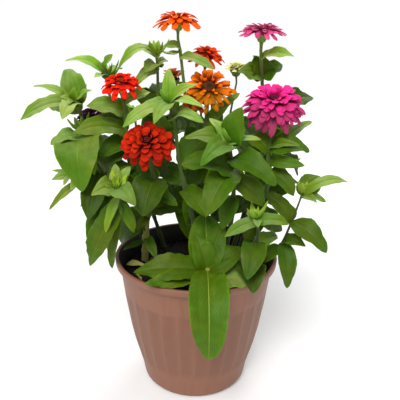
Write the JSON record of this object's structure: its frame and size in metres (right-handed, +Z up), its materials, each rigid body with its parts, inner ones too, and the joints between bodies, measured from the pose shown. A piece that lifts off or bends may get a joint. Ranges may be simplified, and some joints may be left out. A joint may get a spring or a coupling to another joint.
{
  "type": "potted zinnia",
  "caption": "Potted zinnia: leafy stems with layered blooms in reds, oranges, pinks, purple and cream, standing in a fluted plastic pot of dark soil.",
  "frame": {"origin": "centre of the pot's flat base", "axes": "+Z up along the pot's axis, +X to the right and +Y away from the side that is seen first"},
  "size_m": [0.366, 0.2879, 0.4523],
  "materials": {
    "pot": "satin brown plastic, faintly scuffed",
    "soil": "dark crumbly potting soil with dry bits",
    "leaf": "soft green leaf with three main veins",
    "petal_orange": "velvety orange petal",
    "petal_pink": "velvety pink petal",
    "petal_magenta": "velvety magenta petal",
    "petal_red": "velvety red petal",
    "petal_purple": "velvety dark purple petal",
    "petal_cream": "soft cream petal",
    "petal_faded": "withering brown orange petal",
    "florets": "small rough florets"
  },
  "bodies": {
    "root": {"pot": "pot", "soil": "soil", "stem_left": "leaf", "stem_far_left": "leaf", "stem_front": "leaf", "stem_front_right": "leaf", "stem_right_centre": "leaf", "stem_magenta": "leaf", "stem_centre": "leaf", "stem_orange": "leaf", "stem_back": "leaf", "stem_pink": "leaf", "stem_right": "leaf", "stem_behind_left": "leaf", "stem_behind_middle": "leaf", "stem_behind_right": "leaf", "bloom_orange_top": "petal_orange", "disc_orange_top": "florets", "bloom_pink": "petal_pink", "disc_pink": "florets", "bloom_red_orange": "petal_red", "bloom_orange_large": "petal_orange", "disc_orange_large": "florets", "bloom_faded": "petal_faded", "bloom_orange_small": "petal_red", "disc_orange_small": "florets", "bloom_magenta": "petal_magenta", "disc_magenta": "florets", "bloom_red_left": "petal_red", "disc_red_left": "florets", "bloom_red_double": "petal_red", "disc_red_double": "florets", "bloom_purple": "petal_purple", "bloom_cream": "petal_cream", "disc_cream": "florets"}
  },
  "joints": []
}
